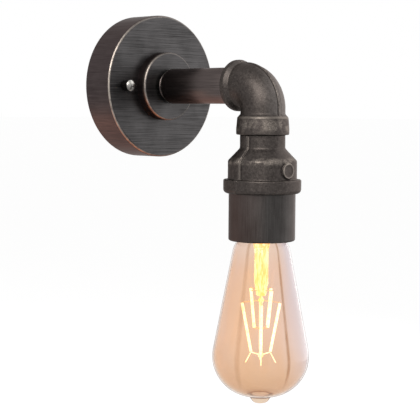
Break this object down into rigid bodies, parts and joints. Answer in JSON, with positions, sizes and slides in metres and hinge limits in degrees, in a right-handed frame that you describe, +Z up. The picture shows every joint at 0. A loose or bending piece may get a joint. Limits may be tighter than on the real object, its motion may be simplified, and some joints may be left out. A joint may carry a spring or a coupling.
{
  "type": "pipe wall light",
  "caption": "Wall light made of pipe fittings: round backplate cup, short arm pipe, cast elbow and reducer, lampholder sleeve and a hanging pear-shaped filament bulb",
  "frame": {"origin": "on the wall plane, in the middle between the bracket's two screw slots, on the arm's axis", "axes": "+Y points into the wall and the arm runs along -Y; +Z is up; +X is to the right seen from in front of the wall"},
  "size_m": [0.1, 0.1551, 0.2615],
  "materials": {
    "zinc_steel": "bright zinc plated",
    "brass": "plain brass",
    "tinned_brass": "tinned",
    "earth_insulation": "striped insulation",
    "live_insulation": "smooth insulation",
    "neutral_insulation": "smooth insulation",
    "block_plastic": "moulded",
    "brushed_plate": "dark bronzed, brushed",
    "brushed_pipe": "dark bronzed, brushed along",
    "cast_fitting": "dark cast surface, edges rubbed",
    "sleeve_finish": "dark satin",
    "cap_nut_finish": "dark, bright worn dome",
    "porcelain": "glazed ceramic",
    "solder": "solder",
    "black_glass": "vitreous insulator",
    "nickel_cap": "nickel plated",
    "amber_glass": "clear amber",
    "stem_glass": "clear, lit from within",
    "filament": "glowing filament stick",
    "wire_metal": "bare wire",
    "circuit_board": "white board"
  },
  "bodies": {
    "fixture": {"wall_bracket": "zinc_steel", "stud_screws": "zinc_steel", "stud_locknuts": "zinc_steel", "earth_screw": "brass", "earth_tag": "tinned_brass", "earth_lead": "earth_insulation", "terminal_block": "block_plastic", "terminal_inserts": "brass", "terminal_screws": "zinc_steel", "terminal_fixing_screw": "zinc_steel", "live_lead": "live_insulation", "neutral_lead": "neutral_insulation", "backplate_cup": "brushed_plate", "hub_boss": "brushed_plate", "hub_lock_washer": "zinc_steel", "hub_locknut": "zinc_steel", "arm_pipe": "brushed_pipe", "elbow": "cast_fitting", "reducer": "cast_fitting", "lampholder_sleeve": "sleeve_finish", "holder_nipple": "zinc_steel", "holder_bridge": "zinc_steel", "holder_bridge_screws": "zinc_steel", "lampholder_body": "porcelain", "screw_shell": "brass", "centre_contact": "brass", "holder_terminals": "brass", "holder_terminal_screws": "brass"},
    "cap_nut_left": {"cap_nut_left": "cap_nut_finish"},
    "cap_nut_right": {"cap_nut_right": "cap_nut_finish"},
    "lamp_contact": {"end_contact": "solder"},
    "bulb": {"cap_insulator": "black_glass", "bulb_cap": "nickel_cap", "bulb_glass": "amber_glass", "glass_stem": "stem_glass", "filament_sticks": "filament", "cage_wires": "wire_metal", "bulb_driver": "circuit_board"}
  },
  "joints": [
    {"name": "bulb_advance", "type": "slide", "parent": "fixture", "child": "lamp_contact", "axis": [0, 0, -1], "range_m": [0, 0.01539]},
    {"name": "bulb_turn", "type": "hinge", "parent": "lamp_contact", "child": "bulb", "pos_m": [0, -0.1228, -0.08], "axis": [0, 0, -1], "range_deg": [0, 1530]},
    {"name": "cap_nut_left_turn", "type": "hinge", "parent": "fixture", "child": "cap_nut_left", "pos_m": [-0.035, -0.028, 0], "axis": [0, -1, 0], "range_deg": [0, 2790]},
    {"name": "cap_nut_right_turn", "type": "hinge", "parent": "fixture", "child": "cap_nut_right", "pos_m": [0.035, -0.028, 0], "axis": [0, -1, 0], "range_deg": [0, 2790]}
  ],
  "couplings": [
    {"joint": "bulb_advance", "follows": "bulb_turn", "m_per_rad": 0.00057614}
  ]
}
